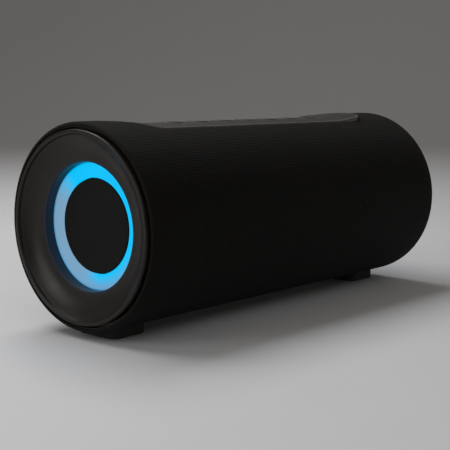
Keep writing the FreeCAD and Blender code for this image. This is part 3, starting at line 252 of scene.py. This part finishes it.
def lightRing():
    # frosted diffuser: bright cyan towards the front and top, washed out towards the rear and below
    material, tree, shader = newFinish("lightRing", Specular_IOR_Level=0.2,
                                       Emission_Strength=ringLook["strength"])
    place = placeGroup(tree, barrelMap)
    across = fade(tree, place.outputs["Radius"], ringLook["inner"], ringLook["outer"])
    rear, up = place.outputs["Rear"], place.outputs["Up"]
    low = fade(tree, up, -0.2, -0.85)
    side = fade(tree, maths(tree, "MULTIPLY_ADD", up, -0.35, rear), 0.25, 0.8)
    lit = blendColour(tree, side, ringLook["cyan"], ringLook["pale"])
    lit = blendColour(tree, maths(tree, "MULTIPLY", low, across), lit, ringLook["sky"])
    edgeStart = ringLook["outer"] - ringLook["edgeWidth"]
    rim = fade(tree, place.outputs["Radius"], edgeStart, ringLook["outer"] + ringLook["edgeOverrun"])
    lit = blendColour(tree, rim, lit, ringLook["edge"])
    speckle = fade(tree, noise(tree, 1800.0), 0.2, 0.8, 0.94, 1.03)
    spread = addNode(tree, "ShaderNodeCombineColor", {0: speckle, 1: speckle, 2: speckle}).outputs[0]
    tree.links.new(blendColour(tree, 1.0, lit, spread, "MULTIPLY"), shader.inputs["Emission Color"])
    frost = blendColour(tree, side, ringLook["frontFrost"], ringLook["rearFrost"])
    tree.links.new(frost, shader.inputs["Base Color"])
    tree.links.new(fade(tree, noise(tree, 400.0), 0.3, 0.7, 0.5, 0.64), shader.inputs["Roughness"])
    setBump(tree, shader, noise(tree, 2600.0), ringLook["grainDepth"])
    return material


# dark and lit: painted shade in the stitch hollows and painted highlight on the stitch crests
knitLook = {"rows": 264, "stitch": 0.0011, "dark": (0.0022, 0.0019, 0.0016), "lit": (0.0085, 0.0072, 0.0058),
            "lint": (0.03, 0.027, 0.024), "slant": 0.9, "fibreShare": 0.25, "depth": 0.00012,
            "bumpStrength": 0.8}


def knitFabric():
    # one column of V stitches on each rib, with painted shade in the hollows between stitches and painted
    # highlight on their crests
    material, tree, shader = newFinish("knitFabric", Sheen_Weight=0.02, Sheen_Roughness=0.5,
                                       Specular_IOR_Level=0.12)
    place = placeGroup(tree, barrelMap)
    rows = maths(tree, "MULTIPLY", place.outputs["Turn"], knitLook["rows"])
    across = maths(tree, "SUBTRACT", maths(tree, "FRACT", maths(tree, "ADD", rows, 100.5)), 0.5)
    wing = maths(tree, "ABSOLUTE", across)
    along = maths(tree, "DIVIDE", place.outputs["Depth"], knitLook["stitch"])
    yarn = maths(tree, "FRACT", maths(tree, "MULTIPLY_ADD", wing, knitLook["slant"], along))
    hump = maths(tree, "SINE", maths(tree, "MULTIPLY", yarn, math.pi))
    crest = fade(tree, wing, 0.5, 0.12)
    height = maths(tree, "MULTIPLY", hump, crest)
    fibres = noise(tree, 9000.0, 2.0, (1, 1, 0.4))
    patch = noise(tree, 28.0, 4.0)
    # painted shade and painted highlight: the colour follows the stitch height
    tone = blendColour(tree, maths(tree, "MULTIPLY", height, fade(tree, patch, 0.25, 0.75, 0.6, 1.0)),
                       knitLook["dark"], knitLook["lit"])
    fluff = maths(tree, "MULTIPLY", fade(tree, noise(tree, 1500.0, 1.0), 0.7, 0.78), 0.16)
    tree.links.new(blendColour(tree, fluff, tone, knitLook["lint"]), shader.inputs["Base Color"])
    tree.links.new(fade(tree, fibres, 0.2, 0.8, 0.72, 0.92), shader.inputs["Roughness"])
    raised = maths(tree, "MULTIPLY_ADD", fibres, knitLook["fibreShare"], height)
    setBump(tree, shader, raised, knitLook["depth"], knitLook["bumpStrength"])
    return material


boardLook = {"trackScale": 420.0, "padScale": 260.0, "mask": (0.012, 0.09, 0.04), "track": (0.02, 0.15, 0.07),
             "tin": (0.6, 0.58, 0.52), "depth": 0.00004}


def circuitBoard():
    # solder mask over a maze of tracks, with tinned pads
    material, tree, shader = newFinish("circuitBoard", Coat_Weight=0.3)
    maze = addNode(tree, "ShaderNodeTexVoronoi",
                   {"Vector": objectPoint(tree), "Scale": boardLook["trackScale"]},
                   distance="MANHATTAN", feature="DISTANCE_TO_EDGE")
    tracks = fade(tree, maze.outputs["Distance"], 0.06, 0.03)
    dots = addNode(tree, "ShaderNodeTexVoronoi",
                   {"Vector": objectPoint(tree), "Scale": boardLook["padScale"]})
    pads = fade(tree, dots.outputs["Distance"], 0.14, 0.11)
    mask = blendColour(tree, tracks, boardLook["mask"], boardLook["track"])
    tree.links.new(blendColour(tree, pads, mask, boardLook["tin"]), shader.inputs["Base Color"])
    tree.links.new(pads, shader.inputs["Metallic"])
    tree.links.new(fade(tree, noise(tree, 300.0), 0.3, 0.7, 0.25, 0.42), shader.inputs["Roughness"])
    setBump(tree, shader, maths(tree, "ADD", tracks, pads), boardLook["depth"])
    return material


def turnedMetal(name, look):
    # brushed or ground metal, with streaks one way and smudges
    material, tree, shader = newFinish(name, Metallic=1.0)
    streaks = noise(tree, look["streaks"], 4.0, look["stretch"])
    smudge = noise(tree, 80.0, 5.0)
    tree.links.new(blendColour(tree, streaks, look["dark"], look["light"]), shader.inputs["Base Color"])
    rough = maths(tree, "MULTIPLY_ADD", smudge, 0.2, look["roughness"])
    tree.links.new(rough, shader.inputs["Roughness"])
    setBump(tree, shader, streaks, 0.00003, 0.5)
    return material


coneLook = {"fibreScale": 700.0, "dark": (0.012, 0.012, 0.014), "light": (0.045, 0.045, 0.05),
            "depth": 0.0001}


def conePaper():
    # pressed pulp with long fibres
    material, tree, shader = newFinish("conePaper", Sheen_Weight=0.1)
    pulp = noise(tree, coneLook["fibreScale"], 6.0, (1, 3, 1))
    tone = blendColour(tree, pulp, coneLook["dark"], coneLook["light"])
    tree.links.new(tone, shader.inputs["Base Color"])
    tree.links.new(fade(tree, pulp, 0.2, 0.8, 0.6, 0.85), shader.inputs["Roughness"])
    setBump(tree, shader, pulp, coneLook["depth"])
    return material


# dark and light: painted shade in the grooves and painted highlight on the crests of the turns
coilLook = {"pitch": 0.0002, "dark": (0.3, 0.1, 0.04), "light": (0.75, 0.36, 0.17), "depth": 0.00005}


def coilWinding():
    # fine turns of enamelled wire, with painted shade in the grooves between turns and painted highlight on
    # their crests
    material, tree, shader = newFinish("coilWinding", Metallic=1.0)
    y = addNode(tree, "ShaderNodeSeparateXYZ", {0: objectPoint(tree)}).outputs[1]
    turns = maths(tree, "SINE", maths(tree, "MULTIPLY", y, 2 * math.pi / coilLook["pitch"]))
    # painted shade and painted highlight: the colour follows the height of the turns
    wire = blendColour(tree, fade(tree, turns, -1.0, 1.0), coilLook["dark"], coilLook["light"])
    tree.links.new(wire, shader.inputs["Base Color"])
    tree.links.new(fade(tree, noise(tree, 500.0), 0.3, 0.7, 0.22, 0.36), shader.inputs["Roughness"])
    setBump(tree, shader, turns, coilLook["depth"])
    return material


plasticLooks = {
    "dish_plastic": dict(colour=(0.01, 0.0076, 0.0058), second=(0.013, 0.01, 0.0078), roughness=0.34,
                         grain=5200.0, depth=0.000015, dust=0.04, scuff=0.12, shine=0.26,
                         # glow: painted glow of the ring's light on the dish's collar and inner edge
                         glow=(0.0, 0.006, 0.018), glowReach=0.033, glowStart=0.0309),
    "disc_black": dict(colour=(0.0036, 0.0034, 0.0031), second=(0.005, 0.0047, 0.0042), roughness=0.62,
                       grain=4200.0, depth=0.00002, dust=0.03, scuff=0.1, shine=0.15),
    "rubber_black": dict(colour=(0.008, 0.008, 0.008), second=(0.014, 0.014, 0.014), roughness=0.62,
                         grain=2600.0, depth=0.00004, dust=0.3),
    "frame_plastic": dict(colour=(0.02, 0.02, 0.02), second=(0.03, 0.03, 0.03), roughness=0.55, grain=2500.0,
                          depth=0.00004),
    "shell_plastic": dict(colour=(0.014, 0.0135, 0.013), second=(0.02, 0.019, 0.018), roughness=0.5,
                          grain=2800.0, depth=0.00004),
    "panel_plastic": dict(colour=(0.019, 0.0158, 0.0132), second=(0.024, 0.02, 0.0168), roughness=0.42,
                          grain=4800.0, depth=0.000018, dust=0.05, scuff=0.2, shine=0.3),
    "trim_plastic": dict(colour=(0.085, 0.074, 0.064), second=(0.1, 0.088, 0.077), roughness=0.26,
                         grain=5200.0, depth=0.000008, dust=0.04, scuff=0.3),
    "button_rubber": dict(colour=(0.022, 0.02, 0.0185), second=(0.03, 0.027, 0.025), roughness=0.5,
                          grain=3600.0, depth=0.000025, dust=0.08),
    "foot_rubber": dict(colour=(0.012, 0.0115, 0.011), second=(0.02, 0.019, 0.018), roughness=0.72,
                        grain=2000.0, depth=0.00006, dust=0.3),
    "wire_sleeve": dict(colour=(0.015, 0.015, 0.016), second=(0.03, 0.03, 0.032), roughness=0.6, grain=1800.0,
                        depth=0.0001),
    "cell_wrap": dict(colour=(0.03, 0.11, 0.3), second=(0.04, 0.14, 0.36), roughness=0.22, grain=900.0,
                      depth=0.00003, scuff=0.5),
    "lamp": dict(colour=(0.75, 0.72, 0.5), second=(0.85, 0.82, 0.62), roughness=0.3, grain=3200.0,
                 depth=0.00001),
}
metalLooks = {
    "diaphragm_plate": dict(dark=(0.42, 0.42, 0.43), light=(0.6, 0.6, 0.62), roughness=0.25, streaks=300.0,
                            stretch=(1, 12, 1)),
    "screw_steel": dict(dark=(0.1, 0.1, 0.105), light=(0.24, 0.24, 0.25), roughness=0.28, streaks=900.0,
                        stretch=(1, 1, 1)),
    "switch_metal": dict(dark=(0.45, 0.45, 0.45), light=(0.66, 0.66, 0.66), roughness=0.24, streaks=1200.0,
                         stretch=(8, 1, 1)),
    "socket_metal": dict(dark=(0.42, 0.42, 0.44), light=(0.62, 0.62, 0.64), roughness=0.2, streaks=1200.0,
                         stretch=(1, 8, 1)),
    "magnet_steel": dict(dark=(0.18, 0.18, 0.19), light=(0.36, 0.36, 0.37), roughness=0.35, streaks=500.0,
                         stretch=(1, 1, 6)),
}

finishes = {slotName: mouldedPlastic(slotName, look) for slotName, look in plasticLooks.items()}
finishes.update({slotName: turnedMetal(slotName, look) for slotName, look in metalLooks.items()})
finishes.update({"light_ring": lightRing(), "knit_fabric": knitFabric(), "circuit_board": circuitBoard(),
                 "cone_paper": conePaper(), "coil_copper": coilWinding()})

for part in frame["record"]["subparts"]:
    data = frame["nodes"][part["node"]].data
    data.materials.clear()
    data.materials.append(finishes[part["material_slot"]])
print("finishes:", len(finishes))


# ---- helpers for new pieces

def addPiece(name, bm, body, slotName, sharpFrom):
    mesh = bpy.data.meshes.new(name)
    bm.to_mesh(mesh)
    bm.free()
    return dressPiece(name, mesh, body, slotName, sharpFrom)


def dressPiece(name, mesh, body, slotName, sharpFrom):
    mesh.polygons.foreach_set("use_smooth", [True] * len(mesh.polygons))
    mesh.set_sharp_from_angle(angle=math.radians(sharpFrom))
    mesh.materials.clear()
    mesh.materials.append(finishes[slotName])
    piece = bpy.data.objects.new(name, mesh)
    bpy.context.scene.collection.objects.link(piece)
    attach(piece, body)
    return piece


def uprightEdges(made, height):
    # the upright edges of a block that has just been made, in the same order on every run
    edges = dict.fromkeys(edge for vert in made["verts"] for edge in vert.link_edges)
    return [edge for edge in edges if abs(edge.verts[0].co.z - edge.verts[1].co.z) > height / 2]


def bevelEdges(bm, edges, offset, segments):
    bmesh.ops.bevel(bm, geom=edges, offset=offset, segments=segments, profile=0.5, affect="EDGES",
                    material=-1)


def roundedPrism(bm, low, high, leftCorner, rightCorner):
    # an upright block with rounded upright edges, added to bm
    middle, span = (low + high) / 2, high - low
    made = bmesh.ops.create_cube(bm, size=1, matrix=Matrix.Translation(middle) @ Matrix.Diagonal((*span, 1)))
    upright = uprightEdges(made, span.z)
    for corner, side in ((leftCorner, -1), (rightCorner, 1)):
        edges = [edge for edge in upright if edge.is_valid and (edge.verts[0].co.x - middle.x) * side > 0]
        bevelEdges(bm, edges, corner, 10)


def cutAway(mesh, cutter):
    # the mesh with the cutter's blocks taken out of it
    base = bpy.data.objects.new("base", mesh)
    block = bpy.data.meshes.new("cutter")
    cutter.to_mesh(block)
    cutter.free()
    tool = bpy.data.objects.new("tool", block)
    for thing in (base, tool):
        bpy.context.scene.collection.objects.link(thing)
    modifier = base.modifiers.new("cut", "BOOLEAN")
    modifier.object = tool
    modifier.operation = "DIFFERENCE"
    modifier.solver = "EXACT"
    result = bpy.data.meshes.new_from_object(base.evaluated_get(bpy.context.evaluated_depsgraph_get()))
    for thing in (base, tool):
        bpy.data.objects.remove(thing)
    return result


# ---- the knitted sleeve

sleeve = {
    "radius": 0.05, "thickness": 0.0008, "endRoll": 0.0015, "hemRadius": 0.048, "hemDepth": 0.001,
    "hemLip": 0.0003, "rollAngles": (22, 45, 68, 90), "setback": 0.0014, "stepsPerRow": 3,
    "ribHeight": 0.00016, "scoopDepth": 0.00185, "scoopRise": 0.00005, "archRadius": 0.094,
    "leftRamp": (0.0168, 0.0436), "rightRamp": (0.0376, 0.0614), "rampStep": 0.0016, "plainStep": 0.012,
    "innerCoarseness": 2.2, "skinMargin": 0.0002, "openingGap": 0.0002,
    "trimGap": 0.0006, "trimCorners": (0.0076, 0.0156), "trimCut": (0.03, 0.06),    # above the axis
    "footCorner": 0.0042, "footCut": (-0.01, 0.03),                                 # above the floor
    "doorHalf": (0.0232, 0.0082), "doorCut": (0.037, 0.06), "doorCorner": 0.0001,   # behind the axis
    "seamTurn": 2.98, "seamWidth": 0.0006, "seamDepth": 0.0003, "flat": (0.314, 0.25),
}


def easeAcross(value, start, end):
    # two equal arcs that meet halfway
    share = min(max((value - start) / (end - start), 0), 1)
    return 2 * share ** 2 if share < 0.5 else 1 - 2 * (1 - share) ** 2


def scoopTop(x, y, lower):
    # height of the scooped top over the axis, for a skin that lies lower than the outside
    left = easeAcross(halfLength + x, *sleeve["leftRamp"])
    right = easeAcross(halfLength - x, *sleeve["rightRamp"])
    drop = sleeve["scoopDepth"] * min(left, right)
    sag = sleeve["archRadius"] - math.sqrt(sleeve["archRadius"] ** 2 - y ** 2)
    return sleeve["radius"] + sleeve["scoopRise"] - drop - sag - lower


def lengthStations(step):
    # places along the sleeve: close together on the ramps, further apart elsewhere
    end = halfLength - sleeve["setback"] - sleeve["endRoll"]
    places, x = [], -end
    while x < end:
        places.append(x)
        onRamp = (sleeve["leftRamp"][0] < halfLength + x < sleeve["leftRamp"][1]
                  or sleeve["rightRamp"][0] < halfLength - x < sleeve["rightRamp"][1])
        x += step * (1 if onRamp else sleeve["plainStep"] / sleeve["rampStep"])
    return places + [end]


def makeSleeve():
    bm = bmesh.new()
    end = halfLength - sleeve["setback"]
    roll = sleeve["endRoll"]
    inside = sleeve["radius"] - sleeve["thickness"]
    outer = [(x, sleeve["radius"]) for x in lengthStations(sleeve["rampStep"])]
    arc = [math.radians(angle) for angle in sleeve["rollAngles"]]
    hem = [(end - roll + roll * math.sin(a), sleeve["radius"] - roll + roll * math.cos(a)) for a in arc]
    hemRadius, lip, hemEnd = sleeve["hemRadius"], sleeve["hemLip"], end - sleeve["hemDepth"]
    hem += [(end, hemRadius + lip), (end - lip, hemRadius), (hemEnd, hemRadius), (hemEnd, inside)]
    inner = [(x, inside) for x in lengthStations(sleeve["rampStep"] * sleeve["innerCoarseness"])][1:-1]
    section = outer + hem + inner[::-1] + [(-x, radius) for x, radius in hem[::-1]]
    verts = [bm.verts.new((x, 0, axisZ + radius)) for x, radius in section]
    edges = [bm.edges.new((verts[i], verts[(i + 1) % len(verts)])) for i in range(len(verts))]
    steps = knitLook["rows"] * sleeve["stepsPerRow"]
    bmesh.ops.spin(bm, geom=verts + edges, cent=axisPoint, axis=(1, 0, 0), angle=2 * math.pi, steps=steps,
                   use_merge=True)
    bmesh.ops.recalc_face_normals(bm, faces=bm.faces)
    for vert in bm.verts:
        y, up = vert.co.y, vert.co.z - axisZ
        radius, turn = math.hypot(y, up), math.atan2(y, up)
        outside = radius > inside + sleeve["skinMargin"] or abs(vert.co.x) > hemEnd
        ribDrop = sleeve["ribHeight"] * (0.5 - 0.5 * math.cos(knitLook["rows"] * turn)) if outside else 0
        if outside:
            seam = max(0, 1 - abs(turn - sleeve["seamTurn"]) * sleeve["radius"] / sleeve["seamWidth"])
            radius -= ribDrop + sleeve["seamDepth"] * seam
            y, up = radius * math.sin(turn), radius * math.cos(turn)
        if abs(vert.co.x) < end - sleeve["skinMargin"] and up > 0:
            limit = scoopTop(vert.co.x, y, 0 if outside else sleeve["thickness"])
            up = min(up, limit - ribDrop)
        vert.co.y, vert.co.z = y, axisZ + up
    mesh = bpy.data.meshes.new("sleeveTube")
    bm.to_mesh(mesh)
    bm.free()

    cutter = bmesh.new()
    gap, wide = sleeve["openingGap"], sleeve["trimGap"]
    low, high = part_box("panel_trim")
    bottom, top = sleeve["trimCut"]
    roundedPrism(cutter, Vector((low.x - wide, low.y - wide, axisZ + bottom)),
                 Vector((high.x + wide, high.y + wide, axisZ + top)), *sleeve["trimCorners"])
    bottom, top = sleeve["footCut"]
    for foot in ("left_foot", "right_foot"):
        low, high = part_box(foot)
        roundedPrism(cutter, Vector((low.x - gap, low.y - gap, bottom)),
                     Vector((high.x + gap, high.y + gap, top)), sleeve["footCorner"], sleeve["footCorner"])
    across, up = sleeve["doorHalf"]
    near, far = sleeve["doorCut"]
    roundedPrism(cutter, Vector((-across, near, axisZ - up)), Vector((across, far, axisZ + up)),
                 sleeve["doorCorner"], sleeve["doorCorner"])
    piece = dressPiece("knitted_sleeve", cutAway(mesh, cutter), "cabinet", "knit_fabric", 50.0)
    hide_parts("fabric_sleeve")
    return piece


knittedSleeve = makeSleeve()
print("sleeve:", len(knittedSleeve.data.polygons), "faces")


# ---- raised marks on the buttons

mark = {"proud": 0.00012, "sunk": 0.00005, "line": 0.00055, "size": 0.0019, "barCorner": 0.45,
        "playCorner": 0.5, "cornerSteps": 3, "bowSteps": 28}


def bar(bm, x, y, length, width, turn=0.0):
    # a rounded bar, lying at z from the mark's sunk foot to its proud face
    height = mark["proud"] + mark["sunk"]
    shape = Matrix.Translation((x, y, height / 2)) @ Matrix.Rotation(turn, 4, "Z") @ Matrix.Diagonal(
        (length, width, height, 1))
    made = bmesh.ops.create_cube(bm, size=1, matrix=shape)
    bevelEdges(bm, uprightEdges(made, height), width * mark["barCorner"], mark["cornerSteps"])


def bow(bm, radius, start, sweep, width):
    # part of a ring about the middle of the button
    height = mark["proud"] + mark["sunk"]
    turn = Matrix.Rotation(start, 4, "Z")
    corners = [(radius - width / 2, 0, 0), (radius + width / 2, 0, 0), (radius + width / 2, 0, height),
               (radius - width / 2, 0, height)]
    verts = [bm.verts.new(turn @ Vector(corner)) for corner in corners]
    closed = abs(sweep) > 2 * math.pi - 0.01
    if closed:
        section = verts + [bm.edges.new((verts[i], verts[(i + 1) % 4])) for i in range(4)]
    else:
        section = [bm.faces.new(verts)]
    bmesh.ops.spin(bm, geom=section, cent=(0, 0, 0), axis=(0, 0, 1), angle=sweep, steps=mark["bowSteps"],
                   use_merge=closed)


def drawPower(bm, size, line):
    bow(bm, size, math.radians(122), math.radians(296), line)
    bar(bm, 0, size * 0.72, line, size * 1.0)


def drawPairing(bm, size, line):
    for offset in (-0.5, 0.5):
        bar(bm, size * offset * 0.9, size * offset * 0.9, size * 1.3, line * 1.5, math.radians(45))


def drawLight(bm, size, line):
    bow(bm, size * 0.45, 0, 2 * math.pi, line)
    for number in range(8):
        turn = number * math.pi / 4
        bar(bm, size * 0.95 * math.cos(turn), size * 0.95 * math.sin(turn), size * 0.35, line * 0.8, turn)


def drawMinus(bm, size, line):
    bar(bm, 0, 0, size * 1.7, line)


def drawPlay(bm, size, line):
    # a triangle whose edges are rounded as the strokes are
    height = mark["proud"] + mark["sunk"]
    shape = Matrix.Translation((0, 0, height / 2)) @ Matrix.Rotation(-math.pi / 2, 4, "Z")
    made = bmesh.ops.create_cone(bm, cap_ends=True, segments=3, radius1=size, radius2=size, depth=height,
                                 matrix=shape)
    bevelEdges(bm, uprightEdges(made, height), line * mark["playCorner"], mark["cornerSteps"])


def drawPlus(bm, size, line):
    bar(bm, 0, 0, size * 1.7, line)
    for side in (-1, 1):
        bar(bm, 0, side * (size * 0.43 + line * 0.26), line, size * 0.84 - line * 0.5)


def drawSound(bm, size, line):
    for number, height in enumerate((0.9, 1.7, 1.2)):
        bar(bm, (number - 1) * size * 0.75, 0, line * 1.1, size * height)


marks = {"power_button": drawPower, "pairing_button": drawPairing, "light_button": drawLight,
         "volume_down_button": drawMinus, "play_button": drawPlay, "volume_up_button": drawPlus,
         "sound_mode_button": drawSound}

for button, draw in marks.items():
    low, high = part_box(button)
    bm = bmesh.new()
    draw(bm, mark["size"], mark["line"])
    bmesh.ops.recalc_face_normals(bm, faces=bm.faces)
    middle = ((low.x + high.x) / 2, (low.y + high.y) / 2, high.z - mark["sunk"])
    bmesh.ops.translate(bm, vec=middle, verts=bm.verts)
    addPiece(button + "_mark", bm, button, "trim_plastic", 30.0)
print("button marks:", len(marks))


# ---- floor, light and camera

studio = {"floor": (0.6, 0.6, 0.61), "world": (0.8, 0.76, 0.71), "worldStrength": 0.22, "width": 9.0,
          "front": 2.5, "back": 1.6, "bend": 0.9, "top": 3.0, "bendSteps": 16, "mottle": 0.97,
          "mottleScale": 6.0, "roughness": (0.6, 0.68)}
lamps = {
    "overhead": dict(place=(-0.05, 0.45, 0.95), size=(1.0, 0.5), power=8.0),
    "front": dict(place=(-0.6, -0.7, 0.7), size=(0.8, 0.5), power=1.6),
    "leftEnd": dict(place=(-1.1, 0.35, 0.45), size=(0.6, 0.6), power=3.0),
}
view = {"azimuth": -48.75, "elevation": 7.5, "distance": 0.5615, "aim": (-0.016, 0, 0.0448), "lens": 82.3}


def makeFloor():
    # one sheet that runs up behind in a wide curve, so that no horizon shows
    steps, half = studio["bendSteps"], studio["width"] / 2
    bends = [math.radians(90 * number / steps) for number in range(steps + 1)]
    back, bend = studio["back"], studio["bend"]
    curve = [(back + bend * math.sin(angle), bend * (1 - math.cos(angle))) for angle in bends]
    line = [(-studio["front"], 0)] + curve + [(back + bend, studio["top"])]
    turn = Matrix.Rotation(math.radians(view["azimuth"]), 3, "Z")
    bm = bmesh.new()
    verts = [bm.verts.new((-half, y, z)) for y, z in line]
    edges = [bm.edges.new(pair) for pair in zip(verts, verts[1:])]
    swept = bmesh.ops.extrude_edge_only(bm, edges=edges)["geom"]
    far = [item for item in swept if isinstance(item, bmesh.types.BMVert)]
    bmesh.ops.translate(bm, vec=(2 * half, 0, 0), verts=far)
    bmesh.ops.rotate(bm, cent=(0, 0, 0), matrix=turn, verts=bm.verts)
    bmesh.ops.recalc_face_normals(bm, faces=bm.faces)
    mesh = bpy.data.meshes.new("floor")
    bm.to_mesh(mesh)
    bm.free()
    mesh.polygons.foreach_set("use_smooth", [True] * len(mesh.polygons))
    floor = bpy.data.objects.new("floor", mesh)
    bpy.context.scene.collection.objects.link(floor)
    material, tree, shader = newFinish("paleFloor")
    darker = tuple(value * studio["mottle"] for value in studio["floor"])
    tone = blendColour(tree, noise(tree, studio["mottleScale"]), studio["floor"], darker)
    tree.links.new(tone, shader.inputs["Base Color"])
    tree.links.new(fade(tree, noise(tree, 40.0), 0.3, 0.7, *studio["roughness"]), shader.inputs["Roughness"])
    mesh.materials.append(material)


def makeLight(name, look):
    data = bpy.data.lights.new(name, "AREA")
    data.shape = "RECTANGLE"
    data.size, data.size_y = look["size"]
    data.energy = look["power"]
    light = bpy.data.objects.new(name, data)
    light.location = look["place"]
    light.rotation_mode = "QUATERNION"
    light.rotation_quaternion = (axisPoint - Vector(look["place"])).to_track_quat("-Z", "Y")
    bpy.context.scene.collection.objects.link(light)


def makeCamera():
    turn, rise = math.radians(view["azimuth"]), math.radians(view["elevation"])
    back = Vector((math.sin(turn) * math.cos(rise), -math.cos(turn) * math.cos(rise), math.sin(rise)))
    camera = bpy.data.objects.new("camera", bpy.data.cameras.new("camera"))
    camera.data.lens = view["lens"]
    camera.location = Vector(view["aim"]) + back * view["distance"]
    camera.rotation_mode = "QUATERNION"
    camera.rotation_quaternion = (-back).to_track_quat("-Z", "Y")
    bpy.context.scene.collection.objects.link(camera)
    bpy.context.scene.camera = camera


makeFloor()
for lampName, lampLook in lamps.items():
    makeLight(lampName, lampLook)
makeCamera()
world = bpy.data.worlds.new("studio")
world.use_nodes = True
world.node_tree.nodes["Background"].inputs["Color"].default_value = (*studio["world"], 1)
world.node_tree.nodes["Background"].inputs["Strength"].default_value = studio["worldStrength"]
bpy.context.scene.world = world
bpy.context.scene.view_settings.view_transform = "Standard"
print("floor, light and camera ready")
